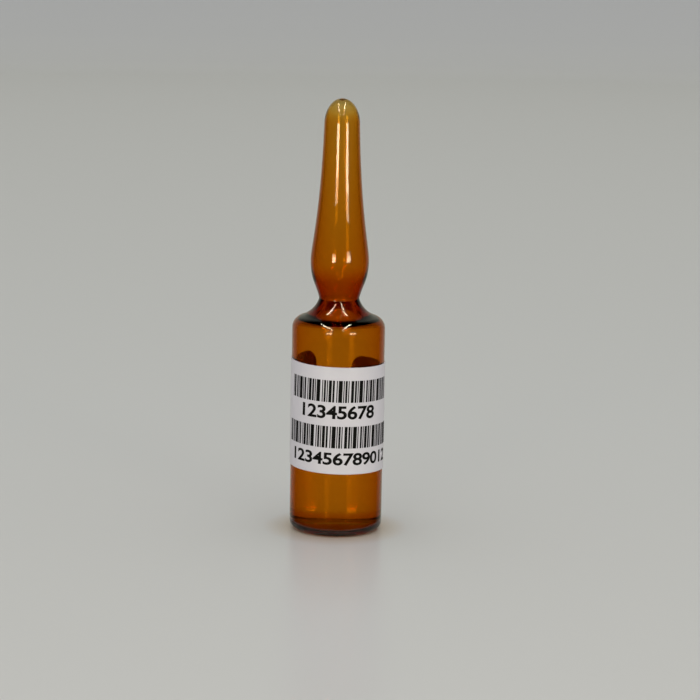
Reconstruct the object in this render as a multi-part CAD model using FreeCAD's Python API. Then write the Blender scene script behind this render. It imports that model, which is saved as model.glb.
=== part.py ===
import FreeCAD, Part
import math
import os

# A sealed ampoule of amber glass for one millilitre, filled and labelled, in millimetres.
# Its axis is Z, and it stands on the flat ring under its base, at Z = 0.
# Its front looks along -Y, and the label's open gap is at the back.

# Outside of the glass, from the base up. Each rise starts where the one before it ends.
body_diameter = 10.75
body_height = 23.75
base_corner_radius = 0.9
foot_width = 0.7
punt_rise = 0.25
shoulder_radius = 1.42
shoulder_rise = 3.46
neck_diameter = 4.64
neck_round = 0.3
bulb_diameter = 6.73
bulb_rise = 4.41
stem_diameter = 4.07
stem_rise = 15.72
dome_rise = 2.85

# How far the glass leans out beside the pinched ring of the neck: below it, where the
# shoulder flares away, and above it, where the cone to the bulb begins
flare_lean_degrees = 19
cone_lean_degrees = 14

# Part of its rise for which each drawn curve keeps the direction that it leaves with
cone_hold = 0.37
bulb_hold_below = 0.52
bulb_hold_above = 0.104
stem_hold = 0.674
stem_taper = 0.029

# Thickness of the glass. It is even in the body, more where the flame let the tube
# shrink to the neck, and less and less where the stem and its tip were drawn out.
body_wall = 0.50
base_wall = 0.50
neck_wall = 0.75
bulb_wall = 0.50
stem_wall = 0.36
tip_wall = 0.14
tip_thinning_rise = 0.6

# The bead of glass that the flame left inside the tip when it sealed it
bead_radius = 0.42
bead_drop = 0.16

# The bore's own rounds. Its neck is much gentler than the pinched ring outside.
bore_base_radius = 1.0
bore_shoulder_radius = 0.78
bore_neck_round = 3.0
bore_taper = 0.018

# The solution: its level on the axis, and how far its edge climbs the wall
fill_level = 13.9
meniscus_rise = 0.9

# The paper label, stuck round the body a little askew and above its middle
label_thickness = 0.10
label_height = 12.45
label_gap = 4.35
label_corner_radius = 1.6
label_lift = 1.45
label_skew_degrees = 1.5
label_turn_degrees = 5.3

neck_height = body_height + shoulder_rise
bulb_height = neck_height + bulb_rise
stem_height = bulb_height + stem_rise
tip_height = stem_height + dome_rise
floor_height = base_wall + punt_rise
bore_top = tip_height - tip_wall
bore_diameter = body_diameter - 2 * body_wall

ORIGIN = FreeCAD.Vector(0, 0, 0)
Z_AXIS = FreeCAD.Vector(0, 0, 1)
QUARTER_WEIGHT = math.cos(math.pi / 4)

# How far each side of the glass lies inside the outline above, and its rounds
OUTSIDE = {"body": 0, "base": 0, "corner": base_corner_radius, "shoulder": shoulder_radius,
           "neck": 0, "ring": neck_round, "bulb": 0, "stem": 0, "taper": stem_taper,
           "tip": 0, "thinning": 0}
INSIDE = {"body": body_wall, "base": base_wall, "corner": bore_base_radius,
          "shoulder": bore_shoulder_radius, "neck": neck_wall, "ring": bore_neck_round,
          "bulb": bulb_wall, "stem": stem_wall, "taper": bore_taper,
          "tip": tip_wall, "thinning": tip_thinning_rise}


def at(radius, height):
    """A point of a profile, in the half plane that is turned about the axis."""
    return FreeCAD.Vector(radius, 0, height)


def line(start, end):
    return Part.LineSegment(start, end).toShape()


def curve(*poles):
    """A smooth curve that leaves and arrives along its first and last pair of poles."""
    bezier = Part.BezierCurve()
    bezier.setPoles(list(poles))
    return bezier.toShape()


def quarter(start, corner, end):
    """The quarter of a circle or an ellipse that rounds off a square corner."""
    bezier = Part.BezierCurve()
    bezier.setPoles([start, corner, end])
    bezier.setWeight(2, QUARTER_WEIGHT)
    return bezier.toShape()


def arc(centre, radius, start_angle, end_angle):
    """An arc of a circle between two angles, measured from the outward radius."""
    angles = (start_angle, (start_angle + end_angle) / 2, end_angle)
    return Part.Arc(*[centre + at(radius * math.cos(a), radius * math.sin(a)) for a in angles]).toShape()


def base_edges(radius, corner, height):
    """The base from the axis out: the punt, the flat it stands on and the rounded corner."""
    flat_end = radius - corner
    flat_start = flat_end - foot_width
    halfway = flat_start / 2
    return [
        curve(at(0, height + punt_rise), at(halfway, height + punt_rise),
              at(halfway, height), at(flat_start, height)),
        line(at(flat_start, height), at(flat_end, height)),
        quarter(at(flat_end, height), at(radius, height), at(radius, height + corner)),
    ]


def shoulder_edges(radius, round_radius, ring_centre, ring_radius):
    """A round that turns in, a flare that turns up and the ring of the neck, all tangent."""
    flare_lean = math.radians(flare_lean_degrees)
    outward = at(math.cos(flare_lean), math.sin(flare_lean))
    round_centre = at(radius - round_radius, body_height)
    flare_end = ring_centre - outward * ring_radius
    span = flare_end - round_centre
    flare_radius = (span.dot(span) - round_radius ** 2) / (2 * (round_radius - span.dot(outward)))
    flare_centre = flare_end + outward * flare_radius
    join = flare_centre - round_centre
    join_angle = math.atan2(join.z, join.x)
    return [
        arc(round_centre, round_radius, 0, join_angle),
        arc(flare_centre, flare_radius, math.pi + join_angle, math.pi + flare_lean),
        arc(ring_centre, ring_radius, math.pi + flare_lean, math.pi - math.radians(cone_lean_degrees)),
    ]


def drawn_edges(ring_centre, ring_radius, bulb, stem, taper):
    """Above the neck: the cone out to the bulb, and the long draw in to the stem."""
    cone_lean = math.radians(cone_lean_degrees)
    cone_start = ring_centre + at(-math.cos(cone_lean), math.sin(cone_lean)) * ring_radius
    below, above = bulb.z - cone_start.z, stem.z - bulb.z
    cone_way = at(math.sin(cone_lean), math.cos(cone_lean)) * (cone_hold * below)
    stem_reach = stem_hold * above
    return [
        curve(cone_start, cone_start + cone_way, bulb - at(0, bulb_hold_below * below), bulb),
        curve(bulb, bulb + at(0, bulb_hold_above * above),
              stem + at(taper * stem_reach, -stem_reach), stem),
    ]


def glass_edges(wall):
    """Every edge of the outside or of the inside of the glass, from the base to the tip."""
    radius = body_diameter / 2 - wall["body"]
    wall_start = at(radius, wall["base"] + wall["corner"])
    wall_end = at(radius, body_height)
    ring_centre = at(neck_diameter / 2 - wall["neck"] + wall["ring"], neck_height)
    bulb = at(bulb_diameter / 2 - wall["bulb"], bulb_height)
    stem = at(stem_diameter / 2 - wall["stem"], stem_height + wall["thinning"])
    top = at(0, tip_height - wall["tip"])
    return (
        base_edges(radius, wall["corner"], wall["base"])
        + [line(wall_start, wall_end)]
        + shoulder_edges(radius, wall["shoulder"], ring_centre, wall["ring"])
        + drawn_edges(ring_centre, wall["ring"], bulb, stem, wall["taper"])
        + [quarter(stem, at(stem.x, top.z), top)]
    )


def turned(edges, low, high):
    """The solid that a profile sweeps round the axis, which closes it between two heights."""
    wire = Part.Wire(edges + [line(at(0, high), at(0, low))])
    return Part.Solid(Part.Face(wire).revolve(ORIGIN, Z_AXIS, 360))


def make_glass(cavity):
    """The body, neck, bulb and sealed stem in one piece, with a bead where the flame sealed it."""
    blank = turned(glass_edges(OUTSIDE), punt_rise, tip_height)
    bead = Part.makeSphere(bead_radius, at(0, bore_top + bead_radius - bead_drop))
    return blank.cut(cavity.cut(bead))


def make_solution(cavity):
    """The fill: all of the bore below a surface that curves up to meet the wall."""
    reach = bore_diameter / 2
    bowl_radius = (reach ** 2 + meniscus_rise ** 2) / (2 * meniscus_rise)
    bowl = Part.makeSphere(bowl_radius, at(0, fill_level + bowl_radius))
    above_edge = Part.makeCylinder(body_diameter, tip_height, at(0, fill_level + meniscus_rise))
    return cavity.cut(bowl.fuse(above_edge))


def label_corners(turn, middle_radius):
    """The label's corners as angle and height, each between the points where it is rounded."""
    middle_height = (base_corner_radius + body_height) / 2 + label_lift
    fall = middle_radius * math.tan(math.radians(label_skew_degrees))
    corner_turn = label_corner_radius / middle_radius

    def spot(angle, height):
        return FreeCAD.Base.Vector2d(math.pi + angle, middle_height + height - angle * fall)

    corners = []
    for side, end in ((-1, -1), (1, -1), (1, 1), (-1, 1)):
        angle, height = side * turn / 2, end * label_height / 2
        beside = spot(angle - side * corner_turn, height)
        along = spot(angle, height - end * label_corner_radius)
        first, last = (along, beside) if side == end else (beside, along)
        corners.append((first, spot(angle, height), last))
    return corners


def label_side(radius, corners):
    """One side of the paper: its outline and its face, drawn on a cylinder."""
    cylinder = Part.Cylinder()
    cylinder.Radius = radius
    edges = []
    for corner, following in zip(corners, corners[1:] + corners[:1]):
        rounding = Part.Geom2d.BezierCurve2d()
        rounding.setPoles(list(corner))
        rounding.setWeight(2, QUARTER_WEIGHT)
        straight = Part.Geom2d.Line2dSegment(corner[2], following[0])
        edges += [rounding.toShape(cylinder), straight.toShape(cylinder)]
    return edges, Part.Face(cylinder, Part.Wire(edges))


def make_label():
    """The paper: two curved faces on cylinders, and the rim between them."""
    inner_radius = body_diameter / 2
    middle_radius = inner_radius + label_thickness / 2
    turn = 2 * math.pi - label_gap / middle_radius
    corners = label_corners(turn, middle_radius)
    back_edges, back = label_side(inner_radius, corners)
    front_edges, front = label_side(inner_radius + label_thickness, corners)
    rim = [Part.makeRuledSurface(*pair) for pair in zip(back_edges, front_edges)]
    shell = Part.makeShell([back, front] + rim)
    shell.sewShape()
    paper = Part.Solid(shell)
    if paper.Volume < 0:
        paper.reverse()
    return paper.rotated(ORIGIN, Z_AXIS, 90 + label_turn_degrees)


def main():
    cavity = turned(glass_edges(INSIDE), floor_height, bore_top)
    nodes = {
        "glass_ampoule": make_glass(cavity),
        "solution": make_solution(cavity),
        "label": make_label(),
    }
    os.makedirs("parts", exist_ok=True)
    for name, solid in nodes.items():
        solid.exportStep("parts/" + name + ".step")
        box = solid.BoundBox
        print(name, "volume", round(solid.Volume, 2), "mm3, z", round(box.ZMin, 3), "to",
              round(box.ZMax, 3), "valid", solid.isValid())


main()
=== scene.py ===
# %% [markdown]
# # A sealed ampoule of amber glass
#
# The object is a glass ampoule about 50 mm tall: a tube that a flame has drawn to a neck, a
# bulb and a long closed stem. It is filled with a clear solution and carries a paper label.
# Glass is all about light, so the camera, the table and the lamps come first. Then come the
# glass, the solution, the label and its print, each in cells of its own.

# %% Load the frame
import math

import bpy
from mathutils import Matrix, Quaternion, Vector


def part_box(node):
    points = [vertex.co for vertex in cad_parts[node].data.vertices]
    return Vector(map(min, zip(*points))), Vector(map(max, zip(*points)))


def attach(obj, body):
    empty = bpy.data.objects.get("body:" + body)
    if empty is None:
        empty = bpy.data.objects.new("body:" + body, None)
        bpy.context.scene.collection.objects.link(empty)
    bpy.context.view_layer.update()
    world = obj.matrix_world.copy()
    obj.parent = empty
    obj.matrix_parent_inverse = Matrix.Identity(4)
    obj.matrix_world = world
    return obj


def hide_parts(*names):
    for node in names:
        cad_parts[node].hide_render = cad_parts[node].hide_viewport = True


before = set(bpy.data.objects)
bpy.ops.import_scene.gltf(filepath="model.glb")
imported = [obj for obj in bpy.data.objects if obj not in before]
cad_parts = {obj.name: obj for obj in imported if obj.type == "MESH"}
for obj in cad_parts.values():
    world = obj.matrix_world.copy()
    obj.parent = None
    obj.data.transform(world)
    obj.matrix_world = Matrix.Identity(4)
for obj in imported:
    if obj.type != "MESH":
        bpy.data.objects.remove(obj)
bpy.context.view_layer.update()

# %% [markdown]
# Everything below uses millimetres, as a glass works does, and one factor turns them into
# metres. The body's radius, the heights and the bore come from the loaded model. The sizes in
# between, such as those of the neck and the bulb, are those of the drawing behind that model.

MM = 0.001

glass_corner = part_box("glass_ampoule")[1] / MM
solution_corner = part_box("solution")[1] / MM

body_radius = glass_corner.x
tip_height = glass_corner.z
bore_radius = solution_corner.x
print(f"body {2 * body_radius:.2f} mm across, {tip_height:.2f} mm tall")
print(f"bore {2 * bore_radius:.2f} mm across")

# %% [markdown]
# Three helpers keep the rest readable. An operator acts on all that is selected, so every
# piece starts with a clean selection. A colour written as on a web page has to become linear
# light before a renderer can add it up. A material grows by nodes, so one function adds a node
# with its settings, its values and its links.

# %% Helpers
scene = bpy.context.scene
scene.view_settings.view_transform = "Standard"


def start_clean():
    """Object mode, with nothing selected."""
    if bpy.context.object and bpy.context.object.mode != "OBJECT":
        bpy.ops.object.mode_set(mode="OBJECT")
    bpy.ops.object.select_all(action="DESELECT")


def take(piece):
    """Only this piece selected and active."""
    start_clean()
    piece.select_set(True)
    bpy.context.view_layer.objects.active = piece


def linear(hex_colour):
    """An sRGB colour, written RRGGBB, as linear light."""
    channels = [int(hex_colour[i:i + 2], 16) / 255 for i in (0, 2, 4)]
    return (*[c / 12.92 if c <= 0.04045 else ((c + 0.055) / 1.055) ** 2.4 for c in channels], 1.0)


def add_node(tree, kind, settings=None, values=None, links=None):
    """A node with its settings, and its inputs set by name to values or to other sockets."""
    node = tree.nodes.new(kind)
    for name, value in (settings or {}).items():
        setattr(node, name, value)
    for name, value in (values or {}).items():
        node.inputs[name].default_value = value
    for name, socket in (links or {}).items():
        tree.links.new(socket, node.inputs[name])
    return node


def new_material(name):
    """A material with an empty node tree."""
    material = bpy.data.materials.new(name)
    material.use_nodes = True
    material.node_tree.nodes.clear()
    return material, material.node_tree


# %% [markdown]
# ## The camera
#
# The picture was taken with a long lens from about 27 cm away, looking down by ten degrees.
# The angle shows in how flat the ellipses of the base and of the label's edges are, and the
# distance in how much larger the tip is drawn than the base. The camera was held one degree
# off level, so the ampoule leans a little to the right.

# %% Camera
picture_width = 700
focal_pixels = 2370
axis_left_of_centre = 11.7
sensor_width = 36.0
camera_distance = 274.8
camera_pitch = math.radians(10.26)
camera_roll = math.radians(1.04)
aim_height = 21.08
nearest_seen = 10.0


def add_camera():
    start_clean()
    bpy.ops.object.camera_add()
    camera = bpy.context.object
    camera.name = "camera"
    camera.data.sensor_width = sensor_width
    camera.data.lens = sensor_width * focal_pixels / picture_width
    camera.data.clip_start = nearest_seen * MM
    ahead = Vector((0, math.cos(camera_pitch), -math.sin(camera_pitch)))
    turn = Quaternion(ahead, -camera_roll) @ ahead.to_track_quat("-Z", "Y")
    sideways = turn @ Vector((axis_left_of_centre / focal_pixels * camera_distance, 0, 0))
    camera.rotation_mode = "QUATERNION"
    camera.rotation_quaternion = turn
    camera.location = MM * (Vector((0, 0, aim_height)) - camera_distance * ahead + sideways)
    scene.camera = camera
    return camera


camera = add_camera()
print("camera at", [round(c / MM, 1) for c in camera.location], "mm")
print("lens", round(camera.data.lens, 1), "mm")

# %% [markdown]
# ## The table and its backdrop
#
# The ampoule stands on a pale grey table that turns up into a backdrop far behind it, with no
# corner to be seen. That is one sheet: a disc, and a rim that rises in a wide curve. A circle
# can be extruded ring by ring, so it is added small, extruded out to the size of the flat part,
# and then extruded up along an arc.
#
# The small circle stays open there, and a filled one closes it. Only this spot, under the
# ampoule, is seen by mirror rays, so that the rounded corner of the base shines a little. The
# rest of the sheet is hidden from them, and the world below gives what the glass mirrors of it.

# %% Table with a rising rim
table_radius = 800.0
rise_radius = 400.0
rise_angle = math.radians(90)
rise_steps = 12
table_segments = 96
spot_radius = 8.5


def add_circle(name, fill):
    """A circle as large as the spot under the ampoule, filled or not."""
    start_clean()
    bpy.ops.mesh.primitive_circle_add(
        vertices=table_segments, radius=spot_radius * MM, fill_type=fill,
    )
    circle = bpy.context.object
    circle.name = name
    return circle


def add_table():
    """All of the table but the spot: a ring round it, and the rim."""
    table = add_circle("table", "NOTHING")
    table.visible_glossy = False
    bpy.ops.object.mode_set(mode="EDIT")
    bpy.ops.mesh.select_mode(type="EDGE")
    bpy.ops.mesh.select_all(action="SELECT")
    bpy.ops.mesh.extrude_edges_move()
    scale = table_radius / spot_radius
    bpy.ops.transform.resize(value=(scale, scale, 1), center_override=(0, 0, 0))
    radius, height = table_radius, 0.0
    for step in range(1, rise_steps + 1):
        angle = rise_angle * step / rise_steps
        new_radius = table_radius + rise_radius * math.sin(angle)
        new_height = rise_radius * (1 - math.cos(angle))
        rise = (0, 0, (new_height - height) * MM)
        bpy.ops.mesh.extrude_edges_move(TRANSFORM_OT_translate={"value": rise})
        scale = new_radius / radius
        bpy.ops.transform.resize(value=(scale, scale, 1), center_override=(0, 0, new_height * MM))
        radius, height = new_radius, new_height
    bpy.ops.object.mode_set(mode="OBJECT")
    bpy.ops.object.shade_smooth()
    return table


table = add_table()
spot = add_circle("table_spot", "TRIFAN")
print("table", round(table.dimensions.x, 2), "m across")
print("rim", round(table.dimensions.z, 2), "m high")

# %% [markdown]
# The table's surface is a pale, slightly satin sheet. The grey is lighter towards the camera
# and darker far behind, because the light falls off with distance. A gradient along the
# table's own Y axis gives that fall. Its gloss is broad, so the amber of the body shows as a
# warm blur in front of the base. Close round the foot, light that came through the amber tints
# the sheet, and a second gradient, from the axis outwards, gives that tint.

# %% Satin table sheet
near_grey = "D2D2D0"
middle_grey = "D0D1D0"
far_grey = "BFC0C0"
spot_grey = "D1D1D0"
amber_lit_grey = "C8BBAA"
amber_lit_radius = 5.0
sheet_roughness = 0.28
gradient_start = -70.0
gradient_middle = 60.0
gradient_end = 1100.0


def table_sheet():
    material, tree = new_material("satin_table_sheet")
    place = add_node(tree, "ShaderNodeTexCoord")
    split = add_node(tree, "ShaderNodeSeparateXYZ", links={"Vector": place.outputs["Object"]})
    span = add_node(
        tree, "ShaderNodeMapRange",
        values={"From Min": gradient_start * MM, "From Max": gradient_end * MM},
        links={"Value": split.outputs["Y"]},
    )
    ramp = add_node(tree, "ShaderNodeValToRGB", links={"Fac": span.outputs["Result"]})
    stops = ramp.color_ramp.elements
    stops[0].color = linear(near_grey)
    stops[1].color = linear(far_grey)
    middle = stops.new((gradient_middle - gradient_start) / (gradient_end - gradient_start))
    middle.color = linear(middle_grey)
    surface = add_node(
        tree, "ShaderNodeBsdfPrincipled",
        values={"Roughness": sheet_roughness},
        links={"Base Color": ramp.outputs["Color"]},
    )
    add_node(tree, "ShaderNodeOutputMaterial", links={"Surface": surface.outputs["BSDF"]})
    return material


def amber_lit_sheet():
    """The same sheet, warmer close to the axis, where light that came through the amber falls."""
    material, tree = new_material("satin_table_sheet_amber_lit")
    place = add_node(tree, "ShaderNodeTexCoord")
    reach = add_node(tree, "ShaderNodeVectorMath", {"operation": "LENGTH"},
                     links={0: place.outputs["Object"]})
    fade = add_node(
        tree, "ShaderNodeMapRange",
        values={"From Min": amber_lit_radius * MM, "From Max": spot_radius * MM},
        links={"Value": reach.outputs["Value"]},
    )
    ramp = add_node(tree, "ShaderNodeValToRGB", links={"Fac": fade.outputs["Result"]})
    ramp.color_ramp.elements[0].color = linear(amber_lit_grey)
    ramp.color_ramp.elements[1].color = linear(spot_grey)
    surface = add_node(tree, "ShaderNodeBsdfPrincipled", values={"Roughness": sheet_roughness},
                       links={"Base Color": ramp.outputs["Color"]})
    add_node(tree, "ShaderNodeOutputMaterial", links={"Surface": surface.outputs["BSDF"]})
    return material


table.data.materials.append(table_sheet())
spot.data.materials.append(amber_lit_sheet())

# %% [markdown]
# ## The light
#
# Most of the light is soft and comes from all round, so the world lights all that is not glass
# evenly. Glass shows its surroundings instead, and here the room is dark: that gives the glass
# its black edges and the dark crescent at its shoulder. Only behind the ampoule are the table
# and the backdrop pale. So the world has two terms. The first counts for light that has met a
# matt surface, also where it then came through the glass, which tints the shadow amber. A ray's
# diffuse depth is the number of matt surfaces it has met, so it has to be above one half. The
# second is what mirror rays find: pale straight behind, and fading to dark towards the sides.

# %% World
ambient_strength = 0.85
ambient_colour = "FFFFFF"
mirror_strength = 0.38
mirror_colour = "FFFFEA"
mirror_start = 0.5
mirror_full = 0.95
matt_threshold = 0.5


def light_world():
    world = bpy.data.worlds.new("soft_room")
    scene.world = world
    world.use_nodes = True
    tree = world.node_tree
    tree.nodes.clear()
    path = add_node(tree, "ShaderNodeLightPath")
    matt = add_node(
        tree, "ShaderNodeMath", {"operation": "GREATER_THAN"},
        values={1: matt_threshold}, links={0: path.outputs["Diffuse Depth"]},
    )
    soft_amount = add_node(
        tree, "ShaderNodeMath", {"operation": "MULTIPLY"},
        values={1: ambient_strength}, links={0: matt.outputs["Value"]},
    )
    soft = add_node(tree, "ShaderNodeBackground", values={"Color": linear(ambient_colour)},
                    links={"Strength": soft_amount.outputs["Value"]})
    way = add_node(tree, "ShaderNodeTexCoord")
    split = add_node(tree, "ShaderNodeSeparateXYZ", links={"Vector": way.outputs["Generated"]})
    back = add_node(
        tree, "ShaderNodeMapRange",
        values={"From Min": mirror_start, "From Max": mirror_full, "To Max": mirror_strength},
        links={"Value": split.outputs["Y"]},
    )
    mirror_amount = add_node(
        tree, "ShaderNodeMath", {"operation": "MULTIPLY"},
        links={0: back.outputs["Result"], 1: path.outputs["Is Glossy Ray"]},
    )
    mirrored = add_node(tree, "ShaderNodeBackground", values={"Color": linear(mirror_colour)},
                        links={"Strength": mirror_amount.outputs["Value"]})
    room = add_node(tree, "ShaderNodeAddShader",
                    links={0: soft.outputs["Background"], 1: mirrored.outputs["Background"]})
    add_node(tree, "ShaderNodeOutputWorld", links={"Surface": room.outputs["Shader"]})


light_world()

# %% [markdown]
# Two strip lamps stand in front, left and right of the camera. They draw the two bright lines
# down the stem and the short dashes on the bulb and the body, and they light the label. Their
# width sets how wide those lines are, and their height how long. Each has a dimmer part at its
# top, because the lines on the stem fade out at their lower ends.

# %% Strip lamps
lamp_distance = 300.0
lamp_width = 70.0
lamp_radiance = 15.0
lamp_end_radiance = 6.0
lamp_colour = "FFF8DC"
lamps = {
    "left": {"turn": math.radians(-23), "low": 8.0, "end": 50.0, "high": 60.0},
    "right": {"turn": math.radians(35), "low": 8.0, "end": 54.0, "high": 66.0},
}


def add_strip_lamp(name, turn, low, high, radiance):
    """An upright lamp that faces the ampoule, turned from the camera's side by an angle."""
    start_clean()
    bpy.ops.object.light_add(type="AREA")
    lamp = bpy.context.object
    lamp.name = name
    aside, ahead = lamp_distance * math.sin(turn), -lamp_distance * math.cos(turn)
    lamp.location = MM * Vector((aside, ahead, (low + high) / 2))
    lamp.rotation_euler = (math.pi / 2, 0, turn)
    lamp.data.shape = "RECTANGLE"
    lamp.data.size = lamp_width * MM
    lamp.data.size_y = (high - low) * MM
    lamp.data.energy = radiance * math.pi * lamp.data.size * lamp.data.size_y
    lamp.data.color = linear(lamp_colour)[:3]
    lamp.visible_camera = False
    print(lamp.name, "power", round(lamp.data.energy, 3), "W")


for side, lamp in lamps.items():
    add_strip_lamp(side + "_strip", lamp["turn"], lamp["low"], lamp["end"], lamp_radiance)
    add_strip_lamp(side + "_strip_end", lamp["turn"], lamp["end"], lamp["high"], lamp_end_radiance)

# %% [markdown]
# Two thin tubes run overhead from the front to just behind the ampoule. They only draw the
# fine bright strokes on the tip, the flare under the neck and the shoulder's round, so they
# light no matt surface.

# %% Overhead tubes
tube_height = 300.0
tube_width = 16.0
tube_radiance = 28.0
tube_ends = {
    "left": (Vector((-125, -450, tube_height)), Vector((-118, 45, tube_height))),
    "right": (Vector((90, -450, tube_height)), Vector((70, 45, tube_height))),
}


def add_tube(side, front, back):
    """A thin lamp that faces down, between two points."""
    start_clean()
    bpy.ops.object.light_add(type="AREA")
    tube = bpy.context.object
    tube.name = side + "_tube"
    run = back - front
    tube.location = MM * (front + back) / 2
    tube.rotation_euler.z = -math.atan2(run.x, run.y)
    tube.data.shape = "RECTANGLE"
    tube.data.size = tube_width * MM
    tube.data.size_y = run.length * MM
    tube.data.energy = tube_radiance * math.pi * tube.data.size * tube.data.size_y
    tube.data.color = linear(lamp_colour)[:3]
    tube.visible_camera = False
    tube.visible_diffuse = False
    print(tube.name, round(run.length), "mm long")


for side, ends in tube_ends.items():
    add_tube(side, *ends)

# %% [markdown]
# ## The drawn outline
#
# A glass works makes an ampoule from a turned tube, so every section across it is a circle and
# one outline says it all. Here the outline is a chain of Bezier curves. Each stretch is four
# points: a start, two handles and an end. Quarter rounds, arcs and long drawn curves all fit
# that form, so a few sizes are enough and the glass stays smooth at any scale.

# %% Sizes of the glass
base_corner_radius = 0.9
foot_width = 0.7
punt_rise = 0.25
body_height = 23.75
shoulder_radius = 1.42
shoulder_rise = 3.46
neck_radius = 2.32
neck_round = 0.3
flare_lean = math.radians(19)
cone_lean = math.radians(14)
cone_hold = 0.37
bulb_rise = 4.41
bulb_radius = 3.365
bulb_hold_below = 0.52
bulb_hold_above = 0.104
stem_rise = 15.72
stem_radius = 2.035
stem_hold = 0.674
stem_taper = 0.029

neck_height = body_height + shoulder_rise
bulb_height = neck_height + bulb_rise
stem_height = bulb_height + stem_rise

# %% [markdown]
# The wall has two sides, and both have the same stretches. So each side is a list of how far it
# lies inside the outer outline, and of its own rounds and taper. Outside, all the distances are
# nought. Inside, they are the thickness of the glass: even in the body, more at the neck, where
# the flame let the tube shrink, and less and less up the drawn stem.

# %% Two sides of the wall
outside = {
    "body": 0, "base": 0, "corner": base_corner_radius,
    "shoulder": shoulder_radius, "neck": 0, "ring": neck_round, "bulb": 0,
    "stem": 0, "taper": stem_taper, "tip": 0, "thinning": 0,
}
inside = {
    "body": body_radius - bore_radius, "base": 0.50, "corner": 1.0,
    "shoulder": 0.78, "neck": 0.75, "ring": 3.0, "bulb": 0.50,
    "stem": 0.36, "taper": 0.018, "tip": 0.14, "thinning": 0.6,
}
print("body wall", round(inside["body"], 3), "mm, neck wall", inside["neck"], "mm")

# %% Stretches of an outline
QUARTER_HANDLE = 4 / 3 * math.tan(math.pi / 8)


def at(radius, height):
    return Vector((radius, 0, height))


def straight(start, end):
    return start, start.lerp(end, 1 / 3), start.lerp(end, 2 / 3), end


def quarter(start, corner, end):
    """A quarter of a circle or an ellipse that rounds off a square corner."""
    return start, start.lerp(corner, QUARTER_HANDLE), end.lerp(corner, QUARTER_HANDLE), end


def arc(centre, radius, first, last):
    """A piece of a circle between two angles, measured from the outward radius."""
    reach = 4 / 3 * math.tan((last - first) / 4) * radius
    start = centre + at(radius * math.cos(first), radius * math.sin(first))
    end = centre + at(radius * math.cos(last), radius * math.sin(last))
    return (start, start + reach * at(-math.sin(first), math.cos(first)),
            end - reach * at(-math.sin(last), math.cos(last)), end)


# %% Outline of the glass
def base_outline(radius, corner, height):
    """From the axis out: the punt, the ring it stands on and the rounded corner."""
    flat_end = radius - corner
    flat_start = flat_end - foot_width
    top = height + punt_rise
    return [
        (at(0, top), at(flat_start / 2, top), at(flat_start / 2, height), at(flat_start, height)),
        straight(at(flat_start, height), at(flat_end, height)),
        quarter(at(flat_end, height), at(radius, height), at(radius, height + corner)),
    ]


def shoulder_outline(radius, round_radius, ring_centre, ring_radius):
    """A round that turns in, a flare that turns up and the ring of the neck, all tangent."""
    outward = at(math.cos(flare_lean), math.sin(flare_lean))
    round_centre = at(radius - round_radius, body_height)
    flare_end = ring_centre - outward * ring_radius
    span = flare_end - round_centre
    flare_radius = (span.dot(span) - round_radius ** 2) / (2 * (round_radius - span.dot(outward)))
    flare_centre = flare_end + outward * flare_radius
    join = flare_centre - round_centre
    join_angle = math.atan2(join.z, join.x)
    return [
        arc(round_centre, round_radius, 0, join_angle),
        arc(flare_centre, flare_radius, math.pi + join_angle, math.pi + flare_lean),
        arc(ring_centre, ring_radius, math.pi + flare_lean, math.pi - cone_lean),
    ]


def drawn_outline(ring_centre, ring_radius, bulb, stem, taper):
    """The cone out to the bulb and the long draw in to the stem."""
    cone_start = ring_centre + ring_radius * at(-math.cos(cone_lean), math.sin(cone_lean))
    below, above = bulb.z - cone_start.z, stem.z - bulb.z
    cone_way = cone_hold * below * at(math.sin(cone_lean), math.cos(cone_lean))
    reach = stem_hold * above
    return [
        (cone_start, cone_start + cone_way, bulb - at(0, bulb_hold_below * below), bulb),
        (bulb, bulb + at(0, bulb_hold_above * above), stem + at(taper * reach, -reach), stem),
    ]


def glass_outline(wall):
    """All stretches of one side of the glass, from the middle of the base to the tip."""
    radius = body_radius - wall["body"]
    wall_start = at(radius, wall["base"] + wall["corner"])
    wall_end = at(radius, body_height)
    ring_centre = at(neck_radius - wall["neck"] + wall["ring"], neck_height)
    bulb = at(bulb_radius - wall["bulb"], bulb_height)
    stem = at(stem_radius - wall["stem"], stem_height + wall["thinning"])
    top = at(0, tip_height - wall["tip"])
    return (
        base_outline(radius, wall["corner"], wall["base"])
        + [straight(wall_start, wall_end)]
        + shoulder_outline(radius, wall["shoulder"], ring_centre, wall["ring"])
        + drawn_outline(ring_centre, wall["ring"], bulb, stem, wall["taper"])
        + [quarter(stem, at(stem.x, top.z), top)]
    )


print("outline of", len(glass_outline(outside)), "stretches")

# %% [markdown]
# A stretch list becomes glass in two moves. A Bezier curve takes the handles as they are and is
# converted to a chain of edges, and the chain is spun round the axis. The spin leaves a seam and
# a heap of points at each pole, so doubles are merged, and then the normals are made to agree.

# %% Spin an outline
outline_resolution = 14
turn_steps = 160
merge_distance = 0.0005


def draw_chain(name, stretches):
    """A Bezier curve along the stretches, as a mesh of edges."""
    start_clean()
    bpy.ops.curve.primitive_bezier_curve_add()
    chain = bpy.context.object
    chain.name = chain.data.name = name
    spline = chain.data.splines[0]
    spline.bezier_points.add(len(stretches) - 1)
    spline.resolution_u = chain.data.resolution_u = outline_resolution
    knots = [stretches[0][0]] + [stretch[3] for stretch in stretches]
    after = [stretch[1] for stretch in stretches] + [knots[-1]]
    before = [knots[0]] + [stretch[2] for stretch in stretches]
    for point, knot, left, right in zip(spline.bezier_points, knots, before, after):
        point.handle_left_type = point.handle_right_type = "FREE"
        point.co, point.handle_left, point.handle_right = MM * knot, MM * left, MM * right
    bpy.ops.object.convert(target="MESH")
    return bpy.context.object


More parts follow.
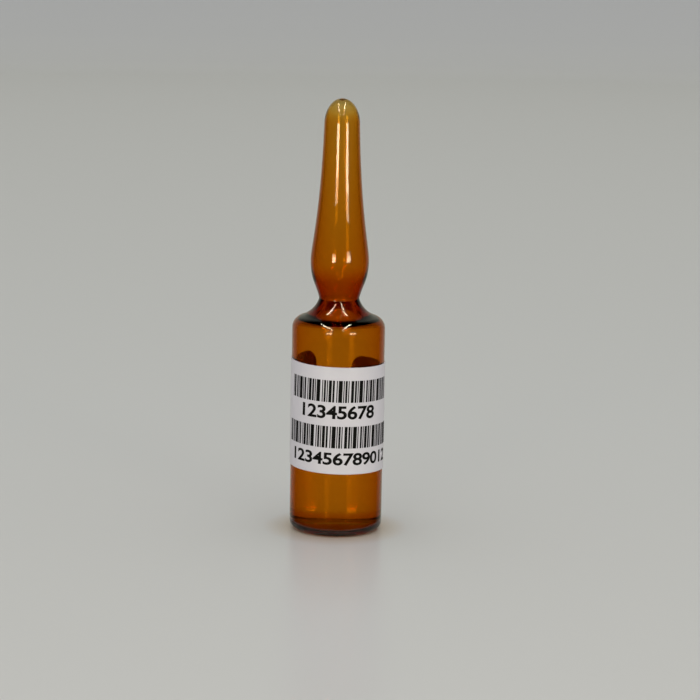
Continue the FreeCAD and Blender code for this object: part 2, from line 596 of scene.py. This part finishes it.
def spin_round(name, stretches, outward=True):
    """A closed skin that an outline sweeps round the axis."""
    skin = draw_chain(name, stretches)
    bpy.ops.object.mode_set(mode="EDIT")
    bpy.ops.mesh.select_all(action="SELECT")
    bpy.ops.mesh.spin(steps=turn_steps, angle=2 * math.pi, center=(0, 0, 0), axis=(0, 0, 1))
    bpy.ops.mesh.select_all(action="SELECT")
    bpy.ops.mesh.remove_doubles(threshold=merge_distance * MM)
    bpy.ops.mesh.normals_make_consistent(inside=not outward)
    bpy.ops.object.mode_set(mode="OBJECT")
    bpy.ops.object.shade_smooth()
    return skin


# %% [markdown]
# ## The glass
#
# The glass is a wall with two sides: an outer skin in air, and an inner skin whose faces look
# into the bore, away from the glass. The wall is half a millimetre in the body, thicker where
# the flame let the tube shrink to the neck, and very thin at the tip. Where the flame sealed
# the tip, a small bead of glass hangs inside. The bore's outline stops where it meets the bead
# and goes on round it, so the last stretch is cut short there.

# %% Bead at the tip
bead_radius = 0.42
bead_drop = 0.16
share_tolerance = 1e-6


def cut_short(stretch, share):
    """The first part of a Bezier stretch: every line between its points is cut in one share."""
    points = list(stretch)
    kept = [points[0]]
    while len(points) > 1:
        points = [a.lerp(b, share) for a, b in zip(points, points[1:])]
        kept.append(points[0])
    return tuple(kept)


def with_bead(stretches, bead_centre):
    """The bore's outline with the bead of glass that hangs from its top."""
    dome = stretches[-1]
    low, high = 0.0, 1.0
    while high - low > share_tolerance:
        share = (low + high) / 2
        outside_bead = (cut_short(dome, share)[-1] - bead_centre).length > bead_radius
        low, high = (share, high) if outside_bead else (low, share)
    dome = cut_short(dome, low)
    rim = dome[-1] - bead_centre
    bead = arc(bead_centre, bead_radius, math.atan2(rim.z, rim.x), -math.pi / 2)
    return stretches[:-1] + [dome, bead]


# %% Glass wall
bore_top = tip_height - inside["tip"]


def make_glass():
    bead_centre = at(0, bore_top + bead_radius - bead_drop)
    outer = spin_round("glass_ampoule_drawn", glass_outline(outside))
    inner = spin_round("bore", with_bead(glass_outline(inside), bead_centre), outward=False)
    take(outer)
    inner.select_set(True)
    bpy.ops.object.join()
    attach(outer, "root")
    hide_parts("glass_ampoule")
    return outer


glass = make_glass()
print("glass", len(glass.data.vertices), "points, height", round(glass.dimensions.z / MM, 2), "mm")

# %% [markdown]
# Amber glass is borosilicate melted with iron and manganese oxides. It isn't painted brown: it
# takes light away with every millimetre, blue first, then green, and hardly any red. So the
# skin is clear and smooth, as a flame leaves it, and the colour is absorption inside the wall.
# The thin tip then comes out yellow and the thick neck red, with no colour painted there. A
# flame also leaves the drawn parts faintly wavy, which breaks the edges of the highlights.

# %% Amber glass, drawn in a flame
amber_tint = "F7E16C"
amber_density = 7000.0
wave_length = 2.2
wave_height = 0.0012
glass_ior = 1.50


def amber_glass():
    material, tree = new_material("amber_borosilicate_flame_drawn")
    place = add_node(tree, "ShaderNodeTexCoord")
    waves = add_node(
        tree, "ShaderNodeTexNoise",
        values={"Scale": 1 / (wave_length * MM), "Detail": 1.0},
        links={"Vector": place.outputs["Object"]},
    )
    relief = add_node(
        tree, "ShaderNodeBump",
        values={"Strength": 1.0, "Distance": wave_height * MM},
        links={"Height": waves.outputs["Fac"]},
    )
    skin = add_node(
        tree, "ShaderNodeBsdfPrincipled",
        values={
            "Base Color": linear("FFFFFF"), "Roughness": 0.0,
            "IOR": glass_ior, "Transmission Weight": 1.0,
        },
        links={"Normal": relief.outputs["Normal"]},
    )
    body = add_node(
        tree, "ShaderNodeVolumeAbsorption",
        values={"Color": linear(amber_tint), "Density": amber_density},
    )
    add_node(tree, "ShaderNodeOutputMaterial",
             links={"Surface": skin.outputs["BSDF"], "Volume": body.outputs["Volume"]})
    return material


glass.data.materials.append(amber_glass())

# %% [markdown]
# ## The solution
#
# One millilitre of a clear, watery solution fills the bore to behind the label. Its surface
# curves up where it wets the wall. A renderer that meets glass and then water needs one clean
# order of surfaces, so the solution reaches a hair into the wall: a ray enters the water just
# before it leaves the glass, and bends in the end as it would where the two touch.

# %% Solution with its meniscus
fill_level = 13.9
meniscus_rise = 0.9
wetting_overlap = 0.015
rim_sharpness = math.radians(40)


def make_solution():
    wall = dict(inside)
    wall["body"] -= wetting_overlap
    wall["base"] -= wetting_overlap
    reach = body_radius - wall["body"]
    rim = at(reach, fill_level + meniscus_rise)
    bowl_radius = (reach ** 2 + meniscus_rise ** 2) / (2 * meniscus_rise)
    bowl_centre = at(0, fill_level + bowl_radius)
    rim_angle = math.atan2(rim.z - bowl_centre.z, rim.x)
    base = base_outline(reach, wall["corner"], wall["base"])
    side = straight(base[-1][-1], rim)
    surface = arc(bowl_centre, bowl_radius, rim_angle, -math.pi / 2)
    solution = spin_round("clear_solution_fill", base + [side, surface])
    bpy.ops.object.shade_smooth_by_angle(angle=rim_sharpness)
    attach(solution, "root")
    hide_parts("solution")
    return solution


solution = make_solution()
print("solution up to", round(solution.dimensions.z / MM + inside["base"], 2), "mm")

# %% [markdown]
# The solution is water with a little dissolved in it, so it has no colour at this depth and a
# perfectly smooth surface. It bends light less than glass does but more than air, and that is
# all one sees of it: the wall of the bore shows far less below the level than above it.

# %% Clear watery solution
water_ior = 1.333


def clear_solution():
    material, tree = new_material("clear_watery_solution")
    water = add_node(
        tree, "ShaderNodeBsdfPrincipled",
        values={
            "Base Color": linear("FFFFFF"), "Roughness": 0.0,
            "IOR": water_ior, "Transmission Weight": 1.0,
        },
    )
    add_node(tree, "ShaderNodeOutputMaterial", links={"Surface": water.outputs["BSDF"]})
    return material


solution.data.materials.append(clear_solution())

# %% [markdown]
# ## The label
#
# The label is printed flat and then rolled round the body, so it is made that way too. The
# sheet, its bars and its digits are laid out flat, a little askew, cut by the same upright
# lines so that they bend alike, and bent together into a ring that stays open at the back.

# %% Sizes of the label
label_height_flat = 12.45
label_gap = 4.35
label_corner_radius = 1.6
label_skew = math.radians(1.5)
label_turn = math.radians(5.3)
label_middle = 13.78
paper_thickness = 0.09
ink_thickness = 0.008
corner_steps = 10
paper_radius = body_radius + paper_thickness
label_length = 2 * math.pi * (body_radius + paper_thickness / 2) - label_gap
print(f"label {label_length:.1f} x {label_height_flat} mm")

# %% Flat sheet with rounded corners
def add_sheet():
    start_clean()
    bpy.ops.mesh.primitive_plane_add(size=1, rotation=(math.pi / 2, 0, 0))
    sheet = bpy.context.object
    sheet.name = "paper_label"
    sheet.scale = (label_length * MM, label_height_flat * MM, 1)
    bpy.ops.object.transform_apply(location=True, rotation=True, scale=True)
    bpy.ops.object.mode_set(mode="EDIT")
    bpy.ops.mesh.select_all(action="SELECT")
    bpy.ops.mesh.bevel(
        affect="VERTICES", offset=label_corner_radius * MM, segments=corner_steps, profile=0.5,
    )
    bpy.ops.object.mode_set(mode="OBJECT")
    return sheet


sheet = add_sheet()

# %% [markdown]
# The print is generic: two rows of bars and two rows of counting digits. The bars' widths and
# gaps come from two short lists of unlike length, so the row looks random and yet repeats only
# after many bars. The digits are the built-in typeface, thickened to a bold weight, and turned
# into a mesh.

# %% Rows of bars
bar_module = 0.113
bar_widths = (1, 3, 2, 1, 4, 1, 2)
bar_gaps = (1, 2, 1, 1, 1)
ink_lift = 0.004
bar_rows = {
    "label_bars_upper": {"left": -6.90, "right": 6.95, "low": 2.16, "high": 4.70},
    "label_bars_lower": {"left": -7.47, "right": 8.60, "low": -3.18, "high": -0.64},
}


def add_bars(name, left, right, low, high):
    """Upright bars between two ends of a row, as one flat mesh."""
    start_clean()
    bpy.ops.mesh.primitive_plane_add(size=1, rotation=(math.pi / 2, 0, 0))
    bars = bpy.context.object
    bars.name = name
    bpy.ops.object.mode_set(mode="EDIT")
    bpy.ops.mesh.delete(type="VERT")
    place, count = left, 0
    while place < right:
        width = bar_widths[count % len(bar_widths)] * bar_module
        middle = MM * Vector((place + width / 2, -ink_lift, (low + high) / 2))
        bpy.ops.mesh.primitive_plane_add(size=1, rotation=(math.pi / 2, 0, 0), location=middle)
        bpy.ops.transform.resize(value=(width * MM, 1, (high - low) * MM), center_override=middle)
        place += width + bar_gaps[count % len(bar_gaps)] * bar_module
        count += 1
    bpy.ops.object.mode_set(mode="OBJECT")
    print(count, "bars from", left, "to", round(place, 2), "mm")
    return bars


print_rows = [add_bars(name, **row) for name, row in bar_rows.items()]

# %% Rows of digits
digit_weight = 0.025
digit_spacing = 0.96
digit_rows = {
    "12345678": {"left": -4.93, "right": 4.30, "low": 0.20, "high": 1.79},
    "123456789012": {"left": -6.32, "right": 7.48, "low": -5.19, "high": -3.70},
}


def add_digits(text, left, right, low, high):
    """A row of bold digits that fills a box, as one flat mesh."""
    start_clean()
    bpy.ops.object.text_add(rotation=(math.pi / 2, 0, 0))
    digits = bpy.context.object
    digits.name = "label_digits"
    digits.data.body = text
    digits.data.offset = digit_weight
    digits.data.space_character = digit_spacing
    bpy.ops.object.convert(target="MESH")
    bpy.ops.object.transform_apply(location=True, rotation=True, scale=True)
    xs = [v.co.x for v in digits.data.vertices]
    zs = [v.co.z for v in digits.data.vertices]
    widen = (right - left) * MM / (max(xs) - min(xs))
    heighten = (high - low) * MM / (max(zs) - min(zs))
    bpy.ops.object.mode_set(mode="EDIT")
    bpy.ops.mesh.select_all(action="SELECT")
    bpy.ops.transform.translate(value=(-min(xs), 0, -min(zs)))
    bpy.ops.transform.resize(value=(widen, 1, heighten), center_override=(0, 0, 0))
    bpy.ops.transform.translate(value=(left * MM, -ink_lift * MM, low * MM))
    bpy.ops.object.mode_set(mode="OBJECT")
    return digits


print_rows += [add_digits(text, **row) for text, row in digit_rows.items()]

# %% [markdown]
# Paper is white, semi-gloss and finely fibrous. The ink is black and a little duller than the
# paper, as a heated ribbon lays it down.

# %% Label paper and ribbon ink
fibre_size = 0.12
fibre_height = 0.004
fibre_strength = 0.35
paper_white = "D1CED6"
paper_roughness = 0.38
paper_ior = 1.5
ink_black = "050505"
ink_roughness = 0.6
ink_shine = 0.2


def label_paper():
    material, tree = new_material("white_label_paper_semi_gloss")
    place = add_node(tree, "ShaderNodeTexCoord")
    fibres = add_node(
        tree, "ShaderNodeTexNoise",
        values={"Scale": 1 / (fibre_size * MM), "Detail": 3.0},
        links={"Vector": place.outputs["Object"]},
    )
    relief = add_node(
        tree, "ShaderNodeBump",
        values={"Strength": fibre_strength, "Distance": fibre_height * MM},
        links={"Height": fibres.outputs["Fac"]},
    )
    paper = add_node(
        tree, "ShaderNodeBsdfPrincipled",
        values={
            "Base Color": linear(paper_white), "Roughness": paper_roughness, "IOR": paper_ior,
        },
        links={"Normal": relief.outputs["Normal"]},
    )
    add_node(tree, "ShaderNodeOutputMaterial", links={"Surface": paper.outputs["BSDF"]})
    return material


def ribbon_ink():
    material, tree = new_material("black_ribbon_ink")
    ink = add_node(
        tree, "ShaderNodeBsdfPrincipled",
        values={
            "Base Color": linear(ink_black), "Roughness": ink_roughness,
            "Specular IOR Level": ink_shine,
        },
    )
    add_node(tree, "ShaderNodeOutputMaterial", links={"Surface": ink.outputs["BSDF"]})
    return material


paper, ink = label_paper(), ribbon_ink()
sheet.data.materials.append(paper)
for row in print_rows:
    row.data.materials.clear()
    row.data.materials.append(ink)

# %% [markdown]
# The rows are joined to the sheet, so that all of it turns askew, is cut and bends as one. The
# bend modifier can only bend at edges, so upright cuts a fifth of a millimetre apart come
# first. The bend turns a flat length into an arc of the same length at the sheet's radius, and
# then the arc moves to the axis. Last, paper and ink part again by their material, and a
# modifier gives each its thickness: the paper inwards, down to the glass, and the ink both ways.

# %% Join, turn askew and cut into narrow strips
strip_width = 0.2


def lay_out():
    take(sheet)
    for row in print_rows:
        row.select_set(True)
    bpy.ops.object.join()
    bpy.ops.object.mode_set(mode="EDIT")
    bpy.ops.mesh.select_all(action="SELECT")
    bpy.ops.transform.rotate(value=-label_skew, orient_axis="Y", center_override=(0, 0, 0))
    bpy.ops.object.mode_set(mode="OBJECT")
    xs = [v.co.x / MM for v in sheet.data.vertices]
    bpy.ops.object.mode_set(mode="EDIT")
    place = math.ceil(min(xs) / strip_width) * strip_width
    while place < max(xs):
        bpy.ops.mesh.select_all(action="SELECT")
        bpy.ops.mesh.bisect(plane_co=(place * MM, 0, 0), plane_no=(1, 0, 0))
        place += strip_width
    bpy.ops.object.mode_set(mode="OBJECT")
    return min(xs), max(xs)


label_start, label_end = lay_out()
print("flat label from", round(label_start, 2), "to", round(label_end, 2), "mm")

# %% Bend round the body
def roll_up():
    take(sheet)
    bend = sheet.modifiers.new("roll", "SIMPLE_DEFORM")
    bend.deform_method = "BEND"
    bend.deform_axis = "Z"
    bend.angle = (label_end - label_start) / paper_radius
    bpy.ops.object.modifier_apply(modifier=bend.name)
    bpy.ops.object.mode_set(mode="EDIT")
    bpy.ops.mesh.select_all(action="SELECT")
    bpy.ops.transform.translate(value=(0, -paper_radius * MM, label_middle * MM))
    bpy.ops.object.mode_set(mode="OBJECT")
    sheet.rotation_euler.z = label_turn
    bpy.ops.object.transform_apply(location=True, rotation=True, scale=True)
    radii = [math.hypot(v.co.x, v.co.y) / MM for v in sheet.data.vertices]
    print("radii", round(min(radii), 4), "to", round(max(radii), 4), "mm")


roll_up()

# %% Part paper from ink, and give each its thickness
def thicken(piece, thickness, offset):
    take(piece)
    wall = piece.modifiers.new("thickness", "SOLIDIFY")
    wall.thickness = thickness * MM
    wall.offset = offset
    bpy.ops.object.modifier_apply(modifier=wall.name)
    radii = [math.hypot(v.co.x, v.co.y) / MM for v in piece.data.vertices]
    print(piece.name, "radii", round(min(radii), 4), "to", round(max(radii), 4), "mm")


def part_label():
    take(sheet)
    bpy.ops.object.mode_set(mode="EDIT")
    bpy.ops.mesh.select_all(action="SELECT")
    bpy.ops.mesh.separate(type="MATERIAL")
    bpy.ops.object.mode_set(mode="OBJECT")
    pieces = {piece.data.materials[0].name: piece for piece in bpy.context.selected_objects}
    label, print_layer = pieces[paper.name], pieces[ink.name]
    print_layer.name = print_layer.data.name = "label_print"
    label.name = label.data.name = "paper_label"
    thicken(label, paper_thickness, -1)
    thicken(print_layer, ink_thickness, 0)
    for piece in (label, print_layer):
        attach(piece, "root")
    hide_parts("label")


part_label()
